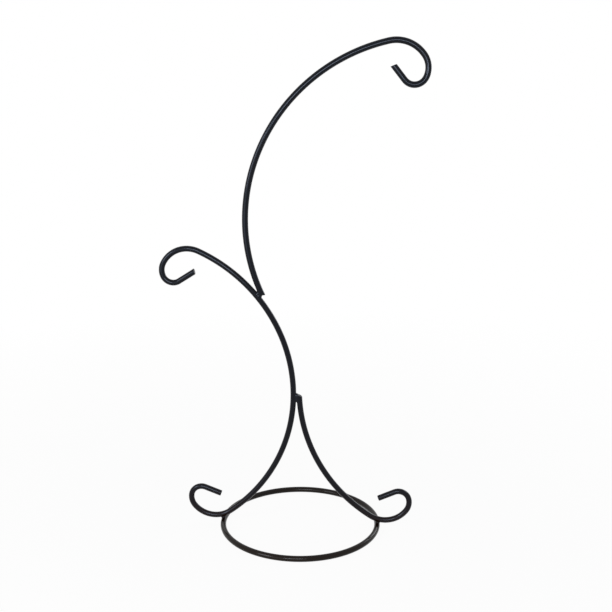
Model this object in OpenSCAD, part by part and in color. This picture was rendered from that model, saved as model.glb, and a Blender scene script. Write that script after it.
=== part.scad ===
// Two-tier hanging plant stand, bent from round steel rod and welded together.
//
// The origin is on the ground, at the centre of the base ring, with +Z up. The bent rods stand
// upright in the XZ plane, over a diameter of the ring. Three rods make the frame: the stem, which
// is a scroll with a hook at its top and a foot at its bottom; the leg, which is the lower half of
// the same scroll, turned round and cut off where it meets the stem; and the top arm.
//
// Every rod is a chain of arcs. Each arc starts where the last one ended and in its direction, so
// the bends run into each other without a kink. Lengths are in millimetres and angles in degrees.

/* [Rod] */
// Diameter of the rod in the ring, the stem and the leg, with its coat
rod_d = 5; // [3:0.1:7]
// Diameter of the slightly heavier rod in the top arm, with its coat
arm_rod_d = 5.2; // [3:0.1:7]
// Gap that the welder leaves between two rods, for the bead to fill
root_gap = 0.1; // [0.05:0.05:0.3]

/* [Base ring] */
// Diameter of the ring along the middle of its rod
ring_d = 136; // [115:1:170]
// Where the ring's two ends are welded together, anticlockwise from +X seen from above
seam_angle = 56; // [20:1:160]

/* [Scroll bends] */
// Radius of the first bend of each scroll, the one that a foot stands on
scroll_first_r = 23; // [20:0.5:28]
// Angle that the first bend turns through
scroll_first_angle = 88; // [75:1:100]
// Radius of the second bend
scroll_second_r = 13.2; // [11:0.1:18]
// Angle that the second bend turns through
scroll_second_angle = 48; // [35:1:60]
// Radius of the third and tightest bend
scroll_third_r = 9.2; // [7.5:0.1:10.5]
// Angle that the third bend turns through
scroll_third_angle = 101; // [85:1:115]
// Length of the straight tip that ends a foot's scroll
foot_tip = 15.2; // [8:0.2:18]

/* [Stem] */
// Radius of the long bow between the two scrolls
bow_r = 136; // [120:1:150]
// How far the waist of the bow, its most upright place, stands from the ring's centre along X
waist_x = -6; // [-14:0.5:0]
// Angle that the bow turns through from the waist up to the hook
hook_rise_angle = 65.5; // [55:0.5:75]
// Length of the straight tip that ends the stem's hook
hook_tip = 16; // [8:0.2:18]
// Angle from the top of the ring's rod, outwards, at which the left foot touches it
left_foot_angle = 16.5; // [8:0.5:20]
// Slant of the hook's cut end; its inner side is the longer one when this is negative
hook_cut_angle = -17; // [-25:1:25]

/* [Leg] */
// Angle from the top of the ring's rod, outwards, at which the right foot touches it
right_foot_angle = 13; // [8:0.5:20]
// How far below the place where the two bows pass closest the leg is cut off
leg_drop = 2.5; // [0:0.5:5]
// Slope of the leg's cut top, falling away from the stem
leg_cut_angle = 25; // [0:1:35]

/* [Top arm] */
// Radius of the arm's long bow
arm_bow_r = 148; // [130:1:165]
// Angle that the arm's bow turns through
arm_bow_angle = 101.5; // [85:0.5:110]
// Angle from the waist up the stem's bow to where the arm stands on it
arm_seat_angle = 39.3; // [32:0.1:46]
// Angle that the arm leans away from the stem at its foot
arm_lean_angle = 15; // [10:0.5:22]
// Depth of the flat on the arm's foot, where it lies against the stem
arm_flat = 0.6; // [0.3:0.1:1.2]
// Radius of the arm's first hook bend
arm_first_r = 27.5; // [22:0.5:34]
// Angle that the first hook bend turns through
arm_first_angle = 68; // [55:1:80]
// Radius of the arm's second hook bend
arm_second_r = 16.8; // [14:0.2:20]
// Angle that the second hook bend turns through
arm_second_angle = 60; // [45:1:75]
// Radius of the arm's third and tightest hook bend
arm_third_r = 10; // [8:0.2:12]
// Angle that the third hook bend turns through
arm_third_angle = 116; // [95:1:125]
// Length of the arm's straight tip
arm_tip = 14.4; // [8:0.2:18]
// Slant of the arm's cut end; its outer side is the longer one when this is positive
arm_cut_angle = 17; // [-25:1:25]

/* [Welds] */
// Radius of each dot of weld metal in a bead
bead_r = 2.5; // [2.2:0.1:2.9]
// Distance between two dots in a bead
bead_pitch = 1.6; // [1.2:0.1:2]
// Dots in the bead between the leg and the stem
leg_dots = 3; // [3:1:5]
// Dots in the bead between the arm and the stem
arm_dots = 2; // [2:1:4]
// How far below the arm's foot its bead starts
arm_bead_drop = 0.4; // [0:0.1:1]
// How far the ring's seam weld stands proud of the rod
seam_crown = 0.35; // [0.1:0.05:0.8]
// How high above the ground the seam weld is ground away, so that the ring still lies flat
seam_dressed = 0.6; // [0.4:0.1:1.2]

/* [Hidden] */
$fn = 96;
finish = "#1c1d21";
// Every other arc of a rod is this much thinner, so that the edges of two end faces that meet
// never cross
bend_step = 0.02;
// Length of rod, each way from a weld, that the weld is shaped against
weld_reach = leg_drop + max(leg_dots, arm_dots) * bead_pitch + 2 * bead_r;
// Facets round a weld and the rods that shape it, and facets in a full turn of those rods' bends
weld_fn = 128;
bend_fn = 4 * weld_fn;
rod_r = rod_d / 2;
ring_r = ring_d / 2;
scroll = [[scroll_first_r, scroll_first_angle], [scroll_second_r, scroll_second_angle],
          [scroll_third_r, scroll_third_angle]];
arm_hook = [[arm_first_r, arm_first_angle], [arm_second_r, arm_second_angle],
            [arm_third_r, arm_third_angle]];
// Distance between the middles of two rods that are welded side by side or across each other
rod_step = rod_d + root_gap;

// Places are [x, z] pairs in the plane of the bent rods, to the nearest micron
function micron(p) = [for (c = p) round(c * 1000) / 1000];
function polar(r, a) = r * [cos(a), sin(a)];
function bearing(from, to) = atan2(to[1] - from[1], to[0] - from[0]);
function arc_angle(length, r) = length / r * 180 / PI;
// Diameter of the i-th arc of a rod of diameter d
function bend_d(d, i) = d - i % 2 * bend_step;
// Where the circles (a, ra) and (b, rb) meet, on the left of the way from a to b
function meet(a, ra, b, rb) =
    let (d = norm(b - a), along = (d * d + ra * ra - rb * rb) / (2 * d))
    a + polar(along, bearing(a, b)) + polar(sqrt(ra * ra - along * along), bearing(a, b) + 90);

// Where a foot touches the ring, and the centre of its first bend; side is -1 or 1
function foot_touch(side, at) = [side * ring_r, rod_r] + polar(rod_step / 2, 90 - side * at);
function foot_centre(side, at) =
    micron([side * ring_r, rod_r] + polar(scroll_first_r + rod_step, 90 - side * at));
left_foot = foot_centre(-1, left_foot_angle);
right_foot = foot_centre(1, right_foot_angle);

// The stem's bow has its waist at waist_x and touches the inside of the left foot's first bend
stem_x = waist_x - bow_r;
stem_centre = micron([stem_x, left_foot[1] + sqrt(pow(bow_r - scroll_first_r, 2)
                                                  - pow(stem_x - left_foot[0], 2))]);
stem_turn_down = -bearing(stem_centre, left_foot);

// The leg's bow runs into the right foot's first bend and passes the stem's bow at the root gap
leg_centre = micron(meet(stem_centre, 2 * bow_r + rod_step, right_foot, bow_r - scroll_first_r));
closest_at = bearing(leg_centre, stem_centre);
leg_top_at = closest_at + arc_angle(leg_drop, bow_r);
leg_start_at = leg_top_at - arc_angle(rod_d, bow_r);
leg_turn = bearing(leg_centre, right_foot) - leg_start_at;

// The arm stands off the stem by the root gap at its flat. Its foot's inner edge lay arm_flat
// nearer before the flat was made, and the arm's bow leaves from there.
arm_stand_off = bow_r + rod_r + root_gap;
arm_edge = stem_centre + polar(arm_stand_off - arm_flat, arm_seat_angle);
arm_foot_at = 180 + arm_seat_angle - arm_lean_angle;
arm_centre = micron(arm_edge - polar(arm_bow_r + arm_rod_d / 2, arm_foot_at));
arm_start_at = arm_foot_at + arc_angle(arm_rod_d, arm_bow_r);

// Stands a drawing in the XY plane upright in the XZ plane, at p and turned by a
module upright(p, a = 0) {
    rotate([90, 0, 0]) translate(p) rotate(a) children();
}

// Takes away what lies beyond a line through p whose normal points at angle a
module cut_beyond(p, a, size) {
    translate(p) rotate(a) translate([0, -size, -size]) cube(2 * size);
}

// A rod bent through a list of [radius, turn] arcs, then a straight tip. It starts on the X axis at
// the first radius, heads for +Y and turns anticlockwise. Each arc is drawn a little long and cut
// off square where the next one starts, so that the two end faces are the same disc.
module bent_rod(d, bends, tip, end_cut, i = 0) {
    r = bends[i][0];
    turn = bends[i][1];
    difference() {
        rotate_extrude(angle = turn + arc_angle(d / 2, r)) translate([r, 0]) circle(d = bend_d(d, i));
        rotate(turn) cut_beyond([r, 0], 90, d);
    }
    rotate(turn) {
        if (i < len(bends) - 1)
            translate([r - bends[i + 1][0], 0]) bent_rod(d, bends, tip, end_cut, i + 1);
        else
            translate([r, 0]) cut_tip(bend_d(d, i + 1), tip, end_cut);
    }
}

// The straight end of a rod, sheared off at a slant
module cut_tip(d, length, slant) {
    difference() {
        rotate([-90, 0, 0]) cylinder(h = length + d, d = d);
        cut_beyond([0, length], 90 + slant, 2 * d);
    }
}

// The stretch of a rod of diameter d, bent at radius r round p, that lies next to a weld at angle a
module stretch(p, r, a, d) {
    half = arc_angle(weld_reach, r);
    upright(p, a - half)
        rotate_extrude(angle = 2 * half, $fn = bend_fn) translate([r, 0]) circle(d = d, $fn = weld_fn);
}

// A bead of weld metal: a row of dots from the origin towards -Y
module bead(dots) {
    for (i = [0 : dots - 1])
        translate([0, -i * bead_pitch]) rotate([0, 90, 0]) sphere(r = bead_r, $fn = weld_fn);
}

module base_ring() {
    seam = arc_angle(root_gap, ring_r);
    color(finish) translate([0, 0, rod_r]) rotate(seam_angle + seam / 2)
        rotate_extrude(angle = 360 - seam) translate([ring_r, 0]) circle(d = rod_d);
}

// The waist is where the upper and the lower half of the scroll meet
module stem() {
    color(finish) {
        upright(stem_centre)
            bent_rod(rod_d, concat([[bow_r, hook_rise_angle]], scroll), hook_tip, hook_cut_angle);
        upright(stem_centre) mirror([0, 1, 0])
            bent_rod(rod_d, concat([[bow_r, stem_turn_down]], scroll), foot_tip, 0);
    }
}

module leg() {
    color(finish) difference() {
        upright(leg_centre, leg_start_at)
            bent_rod(rod_d, concat([[bow_r, leg_turn]], scroll), foot_tip, 0);
        above_leg();
    }
}

// What the sloping cut takes off the top of the leg
module above_leg() {
    upright(leg_centre) cut_beyond(polar(bow_r, leg_top_at), 90 - leg_cut_angle, 2 * rod_d);
}

// The arm turns the other way, so it is drawn mirrored
module top_arm() {
    bends = concat([[arm_bow_r, arm_bow_angle + arm_start_at - arm_foot_at]], arm_hook);
    color(finish) difference() {
        upright(arm_centre, arm_start_at) mirror([0, 1, 0])
            bent_rod(arm_rod_d, bends, arm_tip, arm_cut_angle);
        below_arm();
        inside_arm();
    }
}

// What the level cut takes off the foot of the arm
module below_arm() {
    upright(arm_edge) cut_beyond([0, 0], -90, 2 * arm_rod_d);
}

// What the flat against the stem takes off the foot of the arm
module inside_arm() {
    upright(stem_centre, arm_seat_angle) cut_beyond([arm_stand_off, 0], 180, 2 * arm_rod_d);
}

// The bead starts level with the cut top of the leg and runs down between the leg and the stem
module leg_weld() {
    color(finish) difference() {
        upright(leg_centre, closest_at)
            translate([bow_r + rod_step / 2, leg_drop]) rotate(180) bead(leg_dots);
        stretch(stem_centre, bow_r, closest_at - 180, rod_d);
        difference() {
            stretch(leg_centre, bow_r, closest_at, rod_d);
            above_leg();
        }
    }
}

// The bead runs up from under the arm's foot, halfway between the arm and the stem
module arm_weld() {
    color(finish) difference() {
        upright(stem_centre, arm_seat_angle) translate([arm_stand_off - root_gap / 2, -arm_bead_drop])
            rotate(180 - arm_lean_angle / 2) bead(arm_dots);
        stretch(stem_centre, bow_r, arm_seat_angle, rod_d);
        difference() {
            stretch(arm_centre, arm_bow_r, arm_foot_at, arm_rod_d);
            below_arm();
            inside_arm();
        }
    }
}

// A single dot of weld where a foot crosses the ring
module foot_weld(side, at) {
    color(finish) difference() {
        upright(foot_touch(side, at), 90 - side * at) bead(1);
        stretch(foot_centre(side, at), scroll_first_r, -90 - side * at, bend_d(rod_d, 1));
        ring_stretch(90 - side * 90);
    }
}

// The stretch of the ring next to a weld, at angle a seen from above
module ring_stretch(a) {
    translate([0, 0, rod_r]) rotate([-90, 0, 0]) stretch([0, 0], ring_r, a, rod_d);
}

module left_foot_weld() {
    foot_weld(-1, left_foot_angle);
}

module right_foot_weld() {
    foot_weld(1, right_foot_angle);
}

// The weld that closes the ring: a low collar round the rod, ground away underneath
module ring_seam_weld() {
    side_step = arc_angle(weld_reach + root_gap / 2, ring_r);
    color(finish) rotate(seam_angle) difference() {
        translate([ring_r, 0, rod_r]) rotate([90, 0, 0]) sphere(r = rod_r + seam_crown, $fn = weld_fn);
        ring_stretch(side_step);
        ring_stretch(-side_step);
        translate([ring_r, 0, seam_dressed - rod_d]) cube(2 * rod_d, center = true);
    }
}

base_ring();
stem();
leg();
top_arm();
leg_weld();
arm_weld();
left_foot_weld();
right_foot_weld();
ring_seam_weld();
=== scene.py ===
import math

import bpy
import numpy as np
from mathutils import Matrix, Vector


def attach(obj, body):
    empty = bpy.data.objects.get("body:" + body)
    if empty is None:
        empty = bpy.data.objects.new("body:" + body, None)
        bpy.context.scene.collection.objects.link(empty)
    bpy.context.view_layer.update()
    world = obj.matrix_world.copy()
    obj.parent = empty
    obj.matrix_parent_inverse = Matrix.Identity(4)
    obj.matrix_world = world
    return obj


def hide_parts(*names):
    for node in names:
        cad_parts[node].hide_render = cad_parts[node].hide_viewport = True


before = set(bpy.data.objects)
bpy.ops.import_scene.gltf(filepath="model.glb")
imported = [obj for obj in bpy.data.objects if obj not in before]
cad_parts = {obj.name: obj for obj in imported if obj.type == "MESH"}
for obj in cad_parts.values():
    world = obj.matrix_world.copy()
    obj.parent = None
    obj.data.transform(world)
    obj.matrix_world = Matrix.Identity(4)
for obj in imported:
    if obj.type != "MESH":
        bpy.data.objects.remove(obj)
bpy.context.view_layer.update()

# The look of a hanging plant stand of bent rod, built round its solids and in their frame: the
# origin on the ground at the ring's centre, +Z up, the bent rods in the XZ plane. Shapes are worked
# out in millimetres and angles in degrees. A point of that plane is a pair, X first and Z second.
MM = 0.001
# The direction square to the plane of the bent rods
ACROSS = np.array([0.0, 1.0, 0.0])

# ---------------------------------------------------------------- sizes, the same as in the solids
# Diameters of the rods, and the gap left between two of them for a weld to fill
ROD_D = 5.0
ARM_ROD_D = 5.2
ROOT_GAP = 0.1
# Diameter of the ring along the middle of its rod, and where its seam lies from +X
RING_D = 136.0
SEAM_AT = 56.0
# The scroll that the stem's hook and both feet share, as (radius, turn) of each bend, and the
# straight tip of a foot
SCROLL = [(23.0, 88.0), (13.2, 48.0), (9.2, 101.0)]
FOOT_TIP = 15.2
# The stem: its bow, the place of the bow's waist along X, the turn from there up to the hook, the
# hook's straight tip and the slant of its cut, and where the foot touches the ring's rod, outwards
# from its top
BOW_R = 136.0
WAIST_X = -6.0
HOOK_RISE = 65.5
HOOK_TIP = 16.0
HOOK_CUT = -17.0
LEFT_FOOT_AT = 16.5
# The leg: where its foot touches, how far below the place where the bows pass closest it is cut
# off, and the slope of that cut
RIGHT_FOOT_AT = 13.0
LEG_DROP = 2.5
LEG_CUT = 25.0
# The arm: its bow, its seat up the stem's bow, its lean and the depth of its flat there, and its
# hook's bends, straight tip and slanted cut
ARM_BOW_R = 148.0
ARM_BOW_TURN = 101.5
ARM_SEAT = 39.3
ARM_LEAN = 15.0
ARM_FLAT = 0.6
ARM_HOOK = [(27.5, 68.0), (16.8, 60.0), (10.0, 116.0)]
ARM_TIP = 14.4
ARM_CUT = 17.0
# How high above the ground the ring's seam weld is ground away
SEAM_DRESSED = 0.6

ROD_R = ROD_D / 2
ARM_ROD_R = ARM_ROD_D / 2
RING_R = RING_D / 2
FOOT_R = SCROLL[0][0]
# From the middle of a rod to that of one welded to it
ROD_STEP = ROD_D + ROOT_GAP

# ---------------------------------------------------------------- sizes of the look alone
# How finely the rods are swept: sides round a rod, steps round the ring, and the length of a step
# in a bow and in a tighter bend
ROD_SIDES = 40
RING_STEPS = 300
BOW_STEP = 1.6
BEND_STEP = 0.7
# The smallest radius that counts as a bow, and the fewest steps in an arc or a tip
BOW_FROM_R = 60
FEWEST_STEPS = 4
# Rounding of a sheared end, and of the blunter ends of the feet, the leg and the top hook
SHEAR_R = 0.3
BLUNT_R = 0.55
# Steps in that rounding, and the rings that fill the cut face, as shares of its radius
EDGE_STEPS = 5
FACE_RINGS = (0.8, 0.55, 0.3)
# A rod's plain rings stop this far short of a cut, looked for within this many rod radii of it
CUT_CLEAR = 0.25
CUT_REACH = 3
# The flat on the arm's foot reaches at most this many rod radii from its edge
FLAT_REACH = 6
# How far the coat keeps back from the solids' own surface
SKIN = 0.02

# The welds: radius of a bead's dots, distance from dot to dot, and how softly they run together
BEAD_R = 2.15
BEAD_PITCH = 1.8
BEAD_FLOW = 0.2
# Dots in the leg's bead, and how far below the leg's cut the first lies
LEG_DOTS = 3
LEG_BEAD_DROP = 0.6
# Dots in the arm's bead, and how far below its seat the first lies
ARM_DOTS = 2
ARM_BEAD_DROP = 0.9
# Radius of the dot under a foot, and how far the ring's collar stands proud of the rod
FOOT_DOT_R = 2.0
SEAM_CROWN = 0.3
# Size of the concave fillet where a weld wets the rods, and the room left round its dots
BEAD_FILLET, BEAD_PAD = 0.9, 5.0
FOOT_FILLET, FOOT_PAD = 0.8, 4.55
SEAM_FILLET, SEAM_PAD = 0.7, 4.4
# How far a fillet's foot lies under the rods' surface, and how many fillets a weld reaches past
# its dots
WELD_SINK = 0.06
WELD_REACH = 2.2
# Step of the grid on which the welds are sampled, and how near to zero a value on it may come
WELD_STEP = 0.16
FIELD_LEAST = 1e-4


def polar(r, a):
    """The point of the plane at radius r and angle a."""
    return np.array([r * math.cos(math.radians(a)), r * math.sin(math.radians(a))])


def heading(way):
    """The angle in which a direction points."""
    return math.degrees(math.atan2(way[1], way[0]))


def bearing(p, q):
    """The angle of the way from p to q."""
    return heading(q - p)


def arc_angle(length, r):
    """The turn of a stretch along an arc of radius r."""
    return math.degrees(length / r)


def in_space(p):
    """A point or direction of the XZ plane, with its Y."""
    return np.array([p[0], 0.0, p[1]])


# ---------------------------------------------------------------- where the rods go
def foot_touch(side, at, r):
    """The point r from the middle of the ring's rod, on the line on which a foot touches it."""
    return np.array([side * RING_R, ROD_R]) + polar(r, 90 - side * at)


# The stem's bow ends where the left foot's first bend starts.
left_foot = foot_touch(-1, LEFT_FOOT_AT, FOOT_R + ROD_STEP)
right_foot = foot_touch(1, RIGHT_FOOT_AT, FOOT_R + ROD_STEP)
stem_x = WAIST_X - BOW_R
stem_centre = np.array([stem_x, left_foot[1] + math.sqrt((BOW_R - FOOT_R) ** 2
                                                         - (stem_x - left_foot[0]) ** 2)])
stem_turn_down = -bearing(stem_centre, left_foot)

# The leg's bow passes the stem's at the root gap and ends in the right foot, so its centre lies
# where two circles cross: one round the stem's centre, one round the right foot's.
to_foot = bearing(stem_centre, right_foot)
reach = np.linalg.norm(right_foot - stem_centre)
from_stem, from_foot = 2 * BOW_R + ROD_STEP, BOW_R - FOOT_R
along = (reach ** 2 + from_stem ** 2 - from_foot ** 2) / (2 * reach)
leg_centre = (stem_centre + polar(along, to_foot)
              + polar(math.sqrt(from_stem ** 2 - along ** 2), to_foot + 90))
closest_at = bearing(leg_centre, stem_centre) % 360
leg_top_at = closest_at + arc_angle(LEG_DROP, BOW_R)
leg_turn = bearing(leg_centre, right_foot) % 360 - leg_top_at
leg_top = leg_centre + polar(BOW_R, leg_top_at)

# The arm's bow starts at its seat on the stem, where its foot lies on a flat.
arm_stand_off = BOW_R + ROD_R + ROOT_GAP
arm_edge = stem_centre + polar(arm_stand_off - ARM_FLAT, ARM_SEAT)
arm_foot_at = 180 + ARM_SEAT - ARM_LEAN
arm_centre = arm_edge - polar(ARM_BOW_R + ARM_ROD_R, arm_foot_at)


def chain(start, way, side, bends, tip):
    """Points and unit tangents of a rod that starts in the angle way, is bent through (radius,
    turn) arcs and ends in a straight tip. side is 1 where it turns left, seen with X to the right
    and Z up, and -1 where it turns right."""
    p = np.array(start, float)
    pts, tans = [p], [polar(1, way)]
    for r, turn in bends:
        centre = p + side * polar(r, way + 90)
        step = BOW_STEP if r > BOW_FROM_R else BEND_STEP
        n = max(FEWEST_STEPS, round(math.radians(turn) * r / step))
        for i in range(1, n + 1):
            a = way + side * turn * i / n
            pts.append(centre - side * polar(r, a + 90))
            tans.append(polar(1, a))
        way += side * turn
        p = pts[-1]
    n = max(FEWEST_STEPS, round(tip / BEND_STEP))
    for i in range(1, n + 1):
        pts.append(p + polar(tip * i / n, way))
        tans.append(polar(1, way))
    return np.array(pts), np.array(tans)


def rounded(r, n):
    """The n steps of an edge rounded by r: how far in from the rod's side each lies, and how far
    from its end."""
    return [(r * (1 - math.cos(a)), r * (1 - math.sin(a)))
            for a in np.linspace(0, math.pi / 2, n + 1)]


def end_rings(centre, out, radius, normal, edge):
    """Rings that close a rod: its last ring is carried along the axis to the slanted cut, the edge
    is rounded, and the cut face is filled with rings of its own. out points out of the rod, normal
    is the cut's, both in the XZ plane. The second result is the face's middle."""
    out3, n3, c3 = in_space(out), in_space(normal), in_space(centre)
    side = np.cross(out3, ACROSS)
    steps = [(radius - inward, back) for inward, back in rounded(edge, EDGE_STEPS)]
    steps += [((radius - edge) * k, 0.0) for k in FACE_RINGS]
    rings = []
    for r, back in steps:
        ring = []
        for k in range(ROD_SIDES):
            t = 2 * math.pi * k / ROD_SIDES
            p = c3 + r * (math.cos(t) * side + math.sin(t) * ACROSS)
            lift = -np.dot(p - c3, n3) / np.dot(out3, n3)
            ring.append(p + out3 * (lift - back))
        rings.append(np.array(ring))
    return rings, c3


def add_mesh(name, verts, faces, material, node):
    """A smooth piece in the scene, in place of the node that it stands for."""
    me = bpy.data.meshes.new(name)
    me.from_pydata([tuple(v) for v in np.asarray(verts) * MM], [], faces)
    me.validate()
    me.update()
    for poly in me.polygons:
        poly.use_smooth = True
    ob = bpy.data.objects.new(name, me)
    bpy.context.scene.collection.objects.link(ob)
    me.materials.append(material)
    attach(ob, "root")
    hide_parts(node)


def rod(name, path, radius, start, end, node, shape=None):
    """A round rod along a chain. start and end are each the angle of the cut's outward normal and
    the rounding of its edge. shape may move the finished points."""
    pts, tans = path
    t = np.linspace(0, 2 * math.pi, ROD_SIDES, endpoint=False)
    first, first_middle = end_rings(pts[0], -tans[0], radius, polar(1, start[0]), start[1])
    last, last_middle = end_rings(pts[-1], tans[-1], radius, polar(1, end[0]), end[1])
    cuts = []
    for p, out, rings in ((pts[0], -tans[0], first), (pts[-1], tans[-1], last)):
        cuts.append((p, in_space(out), (rings[0] @ in_space(out)).min() - CUT_CLEAR))
    # Both ends' rings are turned to run the way the rod's own rings do.
    rings = [np.roll(r[::-1], 1 + ROD_SIDES // 2, axis=0) for r in reversed(first)]
    for p, tan in zip(pts, tans):
        side = np.cross(in_space(tan), ACROSS)
        ring = in_space(p) + radius * (np.cos(t)[:, None] * side + np.sin(t)[:, None] * ACROSS)
        if not any(np.linalg.norm(p - tip) < CUT_REACH * radius and np.any(ring @ out > limit)
                   for tip, out, limit in cuts):
            rings.append(ring)
    rings += last
    verts = np.vstack(rings + [first_middle[None], last_middle[None]])
    n = ROD_SIDES
    faces = []
    for i in range(len(rings) - 1):
        for k in range(n):
            a, b = i * n + k, i * n + (k + 1) % n
            faces.append((a + n, b + n, b, a))
    final = (len(rings) - 1) * n
    for k in range(n):
        faces.append((k, (k + 1) % n, len(verts) - 2))
        faces.append((final + (k + 1) % n, final + k, len(verts) - 1))
    if shape is not None:
        verts = shape(verts)
    add_mesh(name, verts, faces, rod_coat, node)


# ---------------------------------------------------------------- node helpers
def combined(nt, operation, a, b):
    """The result of a Math node on two sockets."""
    node = nt.nodes.new("ShaderNodeMath")
    node.operation = operation
    nt.links.new(a, node.inputs[0])
    nt.links.new(b, node.inputs[1])
    return node.outputs[0]


def ramp(nt, value, span, ends):
    """A socket that goes from one of ends to the other while value goes over span."""
    node = nt.nodes.new("ShaderNodeMapRange")
    node.inputs["From Min"].default_value, node.inputs["From Max"].default_value = span
    node.inputs["To Min"].default_value, node.inputs["To Max"].default_value = ends
    nt.links.new(value, node.inputs["Value"])
    return node.outputs["Result"]


# ---------------------------------------------------------------- materials
# Noises of the coat: scale in cycles a metre, detail, and roughness
BROWN_NOISE = (38, 4, 0.6)
GLOSS_NOISE = (220, 5, 0.6)
PEEL_NOISE = (750, 2, 0.5)
WAVE_NOISE = (90, 2, 0.5)
# How brown the coat is, over the span of its noise, in random patches, and over two spans of height
# in metres: all over near the ground, and a little up to the joints. The browning by height is
# painted warm light from the ground.
BROWN_SPAN, BROWN_SHARE = (0.46, 0.66), (0.0, 0.2)
PAINTED_GROUND_LIGHT_HEIGHTS = (((0.008, 0.05), (0.8, 0.0)), ((0.05, 0.30), (0.25, 0.0)))
# Worn edges: over this span of pointiness, that share of this colour
WORN_SPAN, WORN_SHARE = (0.6, 0.75), (0.0, 0.6)
WORN_COLOUR = (0.03, 0.03, 0.031)
# Roughness, over the span of its noise
GLOSS_SPAN, ROUGHNESS = (0.3, 0.7), (0.10, 0.19)
# Strength and distance, in metres, of the fine peel and of the slow waves
PEEL_BUMP = (0.10, 0.00012)
WAVE_BUMP = (0.12, 0.0006)
# What differs between the coats: the base colour, the brown one, the specular level and its tint.
# The steel blue tint of the gloss on the rods and welds is painted blue light. The ring's copy of
# the coat, with a nearly neutral tint and a lower level, paints more neutral, darker light on it.
BASE, PAINTED_BLUE_LIGHT = (0.0009, 0.0007, 0.0009), (0.67, 0.78, 1.0)
ROD_COAT = (BASE, (0.0120, 0.0050, 0.0014), 0.22, PAINTED_BLUE_LIGHT)
RING_COAT_PAINTED_LIGHT = (BASE, (0.0105, 0.0046, 0.0010), 0.185, (0.86, 0.90, 0.96))
WELD_COAT = ((0.0020, 0.0022, 0.0032), (0.0130, 0.0064, 0.0030), 0.22, PAINTED_BLUE_LIGHT)


def coat(name, base, brown, gloss, tint):
    """Black coat on steel: nearly black, browner in random patches where it lies thin, browner
    towards the ground as painted warm light from the ground, satin, with a fine orange peel."""
    m = bpy.data.materials.new(name)
    m.use_nodes = True
    nt = m.node_tree
    bsdf = nt.nodes["Principled BSDF"]
    place = nt.nodes.new("ShaderNodeTexCoord").outputs["Object"]

    def noise(scale, detail, roughness):
        n = nt.nodes.new("ShaderNodeTexNoise")
        n.inputs["Scale"].default_value = scale
        n.inputs["Detail"].default_value = detail
        n.inputs["Roughness"].default_value = roughness
        nt.links.new(place, n.inputs["Vector"])
        return n.outputs["Fac"]

    def mixed(share):
        """A colour mix by share: its two inputs and its result."""
        n = nt.nodes.new("ShaderNodeMix")
        n.data_type = "RGBA"
        nt.links.new(share, n.inputs[0])
        return n.inputs[6], n.inputs[7], n.outputs[2]

    def bump(height, strength, distance):
        n = nt.nodes.new("ShaderNodeBump")
        n.inputs["Strength"].default_value = strength
        n.inputs["Distance"].default_value = distance
        nt.links.new(height, n.inputs["Height"])
        return n

    height = nt.nodes.new("ShaderNodeSeparateXYZ")
    nt.links.new(place, height.inputs[0])
    share = ramp(nt, noise(*BROWN_NOISE), BROWN_SPAN, BROWN_SHARE)
    # Browner towards the ground: painted warm light from the ground.
    for span, ends in PAINTED_GROUND_LIGHT_HEIGHTS:
        share = combined(nt, "MAXIMUM", share, ramp(nt, height.outputs["Z"], span, ends))
    plain, browned, colour = mixed(share)
    plain.default_value = (*base, 1)
    browned.default_value = (*brown, 1)

    geo = nt.nodes.new("ShaderNodeNewGeometry")
    unworn, worn, worn_colour = mixed(
        ramp(nt, geo.outputs["Pointiness"], WORN_SPAN, WORN_SHARE))
    nt.links.new(colour, unworn)
    worn.default_value = (*WORN_COLOUR, 1)
    nt.links.new(worn_colour, bsdf.inputs["Base Color"])

    nt.links.new(ramp(nt, noise(*GLOSS_NOISE), GLOSS_SPAN, ROUGHNESS), bsdf.inputs["Roughness"])
    bsdf.inputs["Specular IOR Level"].default_value = gloss
    # The tint paints the colour of the light into the gloss: blue on the rods and welds, nearly
    # neutral on the ring.
    bsdf.inputs["Specular Tint"].default_value = (*tint, 1)

    peel = bump(noise(*PEEL_NOISE), *PEEL_BUMP)
    wave = bump(noise(*WAVE_NOISE), *WAVE_BUMP)
    nt.links.new(peel.outputs["Normal"], wave.inputs["Normal"])
    nt.links.new(wave.outputs["Normal"], bsdf.inputs["Normal"])
    return m


# The ring's own copy of the coat paints more neutral and darker light on it.
rod_coat = coat("rod_coat", *ROD_COAT)
ring_coat_painted_light = coat("ring_coat_painted_light", *RING_COAT_PAINTED_LIGHT)
weld_coat = coat("weld_coat", *WELD_COAT)

for name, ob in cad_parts.items():
    ob.data.materials.clear()
    ob.data.materials.append(weld_coat if name.endswith("weld") else rod_coat)

# ---------------------------------------------------------------- the rods
# The stem runs from its hook, over the waist of its bow, to its foot.
waist = stem_centre + np.array([BOW_R, 0.0])
up_p, up_t = chain(waist, 90, 1, [(BOW_R, HOOK_RISE)] + SCROLL, HOOK_TIP)
down_p, down_t = chain(waist, -90, -1, [(BOW_R, stem_turn_down)] + SCROLL, FOOT_TIP)
rod("stem_rod", (np.vstack([up_p[::-1], down_p[1:]]), np.vstack([-up_t[::-1], down_t[1:]])),
    ROD_R - SKIN, (heading(up_t[-1]) + HOOK_CUT, SHEAR_R), (heading(down_t[-1]), BLUNT_R), "stem")

leg = chain(leg_top, leg_top_at + 90, 1, [(BOW_R, leg_turn)] + SCROLL, FOOT_TIP)
rod("leg_rod", leg, ROD_R - SKIN, (90 - LEG_CUT, BLUNT_R), (heading(leg[1][-1]), BLUNT_R), "leg")

# The arm's own axis starts level with the edge of its foot.
arm_rise = 180 - math.degrees(math.asin((arm_edge[1] - arm_centre[1]) / ARM_BOW_R))
arm = chain(arm_centre + polar(ARM_BOW_R, arm_rise), arm_rise - 90, -1,
            [(ARM_BOW_R, ARM_BOW_TURN + arm_rise - arm_foot_at)] + ARM_HOOK, ARM_TIP)


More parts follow.
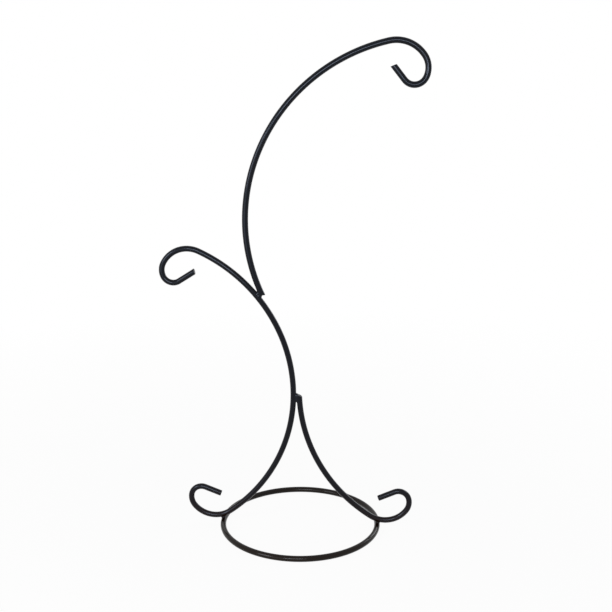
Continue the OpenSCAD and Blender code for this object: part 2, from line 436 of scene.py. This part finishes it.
def press_flat(verts):
    """Moves what lies beyond the flat on the arm's foot back to it."""
    n3 = in_space(polar(1, ARM_SEAT))
    beyond = (verts - in_space(stem_centre + arm_stand_off * polar(1, ARM_SEAT))) @ n3
    near = np.linalg.norm(verts[:, [0, 2]] - arm_edge, axis=1) < FLAT_REACH * ARM_ROD_R
    moved = near & (beyond < 0)
    out = verts.copy()
    out[moved] -= beyond[moved, None] * n3
    return out


rod("arm_rod", arm, ARM_ROD_R - SKIN, (-90, SHEAR_R), (heading(arm[1][-1]) - ARM_CUT, BLUNT_R),
    "top_arm", press_flat)


def ring_rod():
    r = ROD_R - SKIN
    verts, faces = [], []
    for i in range(RING_STEPS):
        a = 2 * math.pi * i / RING_STEPS
        here, there = i * ROD_SIDES, ((i + 1) % RING_STEPS) * ROD_SIDES
        for k in range(ROD_SIDES):
            t = 2 * math.pi * k / ROD_SIDES
            d = RING_R + r * math.cos(t)
            verts.append((d * math.cos(a), d * math.sin(a), ROD_R + r * math.sin(t)))
            after = (k + 1) % ROD_SIDES
            faces.append((here + k, there + k, there + after, here + after))
    add_mesh("ring_rod", verts, faces, ring_coat_painted_light, "base_ring")


ring_rod()


# ---------------------------------------------------------------- the welds
def surface_nets(field, lo, step):
    """A closed quad mesh of the zero level of a field sampled on a grid, negative inside."""
    inside = field < 0
    # The grid's own sides count as outside, so that the mesh is closed.
    inside[0], inside[-1] = False, False
    inside[:, 0], inside[:, -1] = False, False
    inside[:, :, 0], inside[:, :, -1] = False, False
    f = np.where(inside, np.minimum(field, -FIELD_LEAST), np.maximum(field, FIELD_LEAST))
    # A cell that the surface crosses gets one point, the mean of the crossings of its edges.
    nx, ny, nz = (s - 1 for s in f.shape)
    total = np.zeros((nx, ny, nz, 3))
    count = np.zeros((nx, ny, nz))
    corners = [(x, y, z) for z in (0, 1) for y in (0, 1) for x in (0, 1)]
    for i, a in enumerate(corners):
        for b in corners[i + 1:]:
            if sum(abs(x - y) for x, y in zip(a, b)) != 1:
                continue
            fa = f[a[0]:a[0] + nx, a[1]:a[1] + ny, a[2]:a[2] + nz]
            fb = f[b[0]:b[0] + nx, b[1]:b[1] + ny, b[2]:b[2] + nz]
            cross = (fa < 0) != (fb < 0)
            w = np.where(cross, fa / np.where(cross, fa - fb, 1), 0)
            for k in range(3):
                total[..., k] += np.where(cross, a[k] + w * (b[k] - a[k]), 0)
            count += cross
    cells = np.argwhere(count > 0)
    at = tuple(cells.T)
    index = -np.ones(count.shape, int)
    index[at] = np.arange(len(cells))
    verts = lo + step * (cells + total[at] / count[at][:, None])
    # An edge of the grid that the surface crosses gets one quad, of the four cells round it.
    faces = []
    for axis in range(3):
        u, v = (axis + 1) % 3, (axis + 2) % 3
        crossed = (f[:-1, :-1, :-1] < 0) != (np.roll(f, -1, axis)[:-1, :-1, :-1] < 0)
        for c in np.argwhere(crossed):
            if c[u] == 0 or c[v] == 0:
                continue
            q = []
            for du, dv in ((1, 1), (0, 1), (0, 0), (1, 0)):
                e = c.copy()
                e[u] -= du
                e[v] -= dv
                q.append(index[tuple(e)])
            if min(q) >= 0:
                faces.append(tuple(int(x) for x in (q if f[tuple(c)] < 0 else q[::-1])))
    return verts, faces


def smooth_min(a, b, k):
    """The lesser of two fields, rounded where they meet."""
    h = np.clip(0.5 + 0.5 * (b - a) / k, 0, 1)
    return b * (1 - h) + a * h - k * h * (1 - h)


def arc_rod_field(p, centre, bow, radius):
    """Distance to a rod bent in the XZ plane."""
    d = np.hypot(p[..., 0] - centre[0], p[..., 2] - centre[1]) - bow
    return np.hypot(d, p[..., 1]) - radius


def ring_field(p):
    """Distance to the ring."""
    d = np.hypot(p[..., 0], p[..., 1]) - RING_R
    return np.hypot(d, p[..., 2] - ROD_R) - ROD_R


def stem_field(p):
    return arc_rod_field(p, stem_centre, BOW_R, ROD_R)


def arm_field(p):
    """Distance to the arm's bow, cut level at the edge of its foot."""
    out = arc_rod_field(p, arm_centre, ARM_BOW_R, ARM_ROD_R)
    return np.maximum(out, arm_edge[1] - p[..., 2])


def leg_field(p):
    """Distance to the leg's bow with its slanted cut."""
    out = arc_rod_field(p, leg_centre, BOW_R, ROD_R)
    n = polar(1, 90 - LEG_CUT)
    return np.maximum(out, (p[..., 0] - leg_top[0]) * n[0] + (p[..., 2] - leg_top[1]) * n[1])


def left_foot_field(p):
    return arc_rod_field(p, left_foot, FOOT_R, ROD_R)


def right_foot_field(p):
    return arc_rod_field(p, right_foot, FOOT_R, ROD_R)


def weld(name, node, dots, dot_r, rods, fillet, pad, ground_to=None):
    """A bead: overlapping dots of weld metal that flow together and wet the rods in a concave
    fillet. It lies just under the rods' own surfaces where it ends, and may be ground away below
    a height."""
    lo, hi = np.min(dots, axis=0) - pad, np.max(dots, axis=0) + pad
    axes = [np.arange(a, b + WELD_STEP, WELD_STEP) for a, b in zip(lo, hi)]
    p = np.stack(np.meshgrid(*axes, indexing="ij"), -1)
    bead = None
    for c in dots:
        d = np.linalg.norm(p - c, axis=-1) - dot_r
        bead = d if bead is None else smooth_min(bead, d, BEAD_FLOW)
    body = rods[0](p)
    for r in rods[1:]:
        body = np.minimum(body, r(p))
    field = smooth_min(bead, body + WELD_SINK, fillet)
    # The piece ends where the bead no longer lifts it off the rods.
    field = np.maximum(field, bead - WELD_REACH * fillet)
    if ground_to is not None:
        field = np.maximum(field, ground_to - p[..., 2])
    verts, faces = surface_nets(field, lo, WELD_STEP)
    add_mesh(name, verts, faces, weld_coat, node)


leg_seat = leg_centre + polar(BOW_R + ROD_STEP / 2, closest_at)
leg_down = polar(1, closest_at + 90)
leg_dots = [in_space(leg_seat + leg_down * (LEG_DROP + LEG_BEAD_DROP + i * BEAD_PITCH))
            for i in range(LEG_DOTS)]
weld("leg_bead", "leg_weld", leg_dots, BEAD_R, [stem_field, leg_field], BEAD_FILLET, BEAD_PAD)

arm_seat = stem_centre + polar(arm_stand_off - ROOT_GAP / 2, ARM_SEAT)
arm_up = polar(1, ARM_SEAT + 90 - ARM_LEAN / 2)
arm_dots = [in_space(arm_seat + arm_up * (i * BEAD_PITCH - ARM_BEAD_DROP))
            for i in range(ARM_DOTS)]
weld("arm_bead", "arm_weld", arm_dots, BEAD_R, [stem_field, arm_field], BEAD_FILLET, BEAD_PAD)

for name, node, side, at, field in (
        ("left_foot_bead", "left_foot_weld", -1, LEFT_FOOT_AT, left_foot_field),
        ("right_foot_bead", "right_foot_weld", 1, RIGHT_FOOT_AT, right_foot_field)):
    weld(name, node, [in_space(foot_touch(side, at, ROD_STEP / 2))], FOOT_DOT_R,
         [field, ring_field], FOOT_FILLET, FOOT_PAD)

seam_dot = np.array([*polar(RING_R, SEAM_AT), ROD_R])
weld("seam_collar", "ring_seam_weld", [seam_dot], ROD_R + SEAM_CROWN, [ring_field], SEAM_FILLET,
     SEAM_PAD, SEAM_DRESSED)

# ---------------------------------------------------------------- floor and backdrop
# How much of the floor's look is plain white near the stand; the rest shows its light and the
# stand's shadow. Between these distances, in metres, it fades into the white backdrop.
FLOOR_WHITE = 0.95
FLOOR_FADE = (0.15, 0.8)
# The floor's side, in metres, and its colour
FLOOR_SIZE = 30
FLOOR_COLOUR = (0.86, 0.86, 0.86)
WHITE = (1, 1, 1)
# The room's own soft light
ROOM_COLOUR = (0.93, 0.96, 1.0)
ROOM_STRENGTH = 0.2
scene = bpy.context.scene


def seen_directly(nt):
    """1 for the rays that the eye follows, straight from the camera or by way of gloss or glass."""
    paths = nt.nodes.new("ShaderNodeLightPath")
    seen = paths.outputs["Is Camera Ray"]
    for other in ("Is Glossy Ray", "Is Transmission Ray"):
        seen = combined(nt, "MAXIMUM", seen, paths.outputs[other])
    return seen


def glow(nt, kind, colour, strength):
    """The output of an emission or background node."""
    node = nt.nodes.new(kind)
    node.inputs["Color"].default_value = (*colour, 1)
    node.inputs["Strength"].default_value = strength
    return node.outputs[0]


def mix_into(nt, kind, share, unseen, seen):
    """Ends a node tree in two shaders: share says how much of the seen one there is."""
    mix = nt.nodes.new("ShaderNodeMixShader")
    for source, socket in zip((share, unseen, seen), mix.inputs):
        nt.links.new(source, socket)
    nt.links.new(mix.outputs[0], nt.nodes.new(kind).inputs[0])


bpy.ops.mesh.primitive_plane_add(size=FLOOR_SIZE, location=(0, 0, 0))
floor = bpy.context.object
floor.name = "floor"
floor_white = bpy.data.materials.new("floor_white")
floor_white.use_nodes = True
nt = floor_white.node_tree
nt.nodes.clear()
diffuse = nt.nodes.new("ShaderNodeBsdfDiffuse")
diffuse.inputs["Color"].default_value = (*FLOOR_COLOUR, 1)
away = nt.nodes.new("ShaderNodeVectorMath")
away.operation = "LENGTH"
nt.links.new(nt.nodes.new("ShaderNodeTexCoord").outputs["Object"], away.inputs[0])
fade = ramp(nt, away.outputs["Value"], FLOOR_FADE, (FLOOR_WHITE, 1.0))
mix_into(nt, "ShaderNodeOutputMaterial", combined(nt, "MULTIPLY", seen_directly(nt), fade),
         diffuse.outputs[0], glow(nt, "ShaderNodeEmission", WHITE, 1.0))
floor.data.materials.append(floor_white)

world = bpy.data.worlds.new("studio")
scene.world = world
world.use_nodes = True
nt = world.node_tree
nt.nodes.clear()
mix_into(nt, "ShaderNodeOutputWorld", seen_directly(nt),
         glow(nt, "ShaderNodeBackground", ROOM_COLOUR, ROOM_STRENGTH),
         glow(nt, "ShaderNodeBackground", WHITE, 1.0))

# ---------------------------------------------------------------- light
# White lamps, in metres and watts: place, target, width and height, and power. The key and the
# front one make most of the highlights along the rods. The back one adds its own on the stem, the
# feet and the near side of the ring.
LAMPS = {
    "softbox": ((-0.37, -0.80, 0.44), (0, 0, 0.25), (0.94, 0.38), 0.6),
    "key": ((-0.62, -0.62, 0.44), (0, 0, 0.25), (0.28, 0.32), 2.4),
    "front": ((-0.06, -0.88, 0.41), (0, 0, 0.27), (0.42, 0.17), 3.0),
    "back": ((0.61, 0.60, 0.48), (0, 0, 0.22), (0.50, 0.40), 2.1),
    "fill": ((-0.43, -0.78, 0.12), (0, 0, 0.20), (0.80, 0.20), 0.9),
}
for name, (place, target, (width, height), power) in LAMPS.items():
    lamp = bpy.data.lights.new(name, "AREA")
    lamp.shape = "RECTANGLE"
    lamp.size, lamp.size_y = width, height
    lamp.energy = power
    ob = bpy.data.objects.new(name, lamp)
    scene.collection.objects.link(ob)
    ob.location = place
    ob.rotation_euler = (Vector(target) - Vector(place)).to_track_quat("-Z", "Y").to_euler()
    ob.visible_camera = False

# ---------------------------------------------------------------- camera
# Fitted to the photograph: focal length and image in pixels, sensor in mm
FOCAL_PX = 976.05
IMAGE_PX = 612
SENSOR = 36
# Nearest distance that it sees, in metres
CLIP_START = 0.01
# Its distance and shifts from the ring's centre, in mm, and its angles
CAM_AWAY, CAM_X, CAM_Z = 867.62, -5.136, -193.84
PITCH, YAW, ROLL = (math.radians(a) for a in (13.733, 4.1978, 0.1196))
forward = Vector((-math.sin(YAW) * math.cos(PITCH), math.cos(YAW) * math.cos(PITCH),
                  -math.sin(PITCH)))
level_right = Vector((math.cos(YAW), math.sin(YAW), 0))
level_up = level_right.cross(forward)
right = level_right * math.cos(ROLL) + level_up * math.sin(ROLL)
up = level_up * math.cos(ROLL) - level_right * math.sin(ROLL)
eye = -(forward * CAM_AWAY + right * CAM_X + up * CAM_Z) * MM
cam_data = bpy.data.cameras.new("camera")
cam_data.sensor_width = SENSOR
cam_data.lens = FOCAL_PX * SENSOR / IMAGE_PX
cam_data.clip_start = CLIP_START
cam = bpy.data.objects.new("camera", cam_data)
scene.collection.objects.link(cam)
cam.matrix_world = Matrix((
    (right.x, up.x, -forward.x, eye.x),
    (right.y, up.y, -forward.y, eye.y),
    (right.z, up.z, -forward.z, eye.z),
    (0, 0, 0, 1)))
scene.camera = cam
scene.view_settings.view_transform = "Standard"
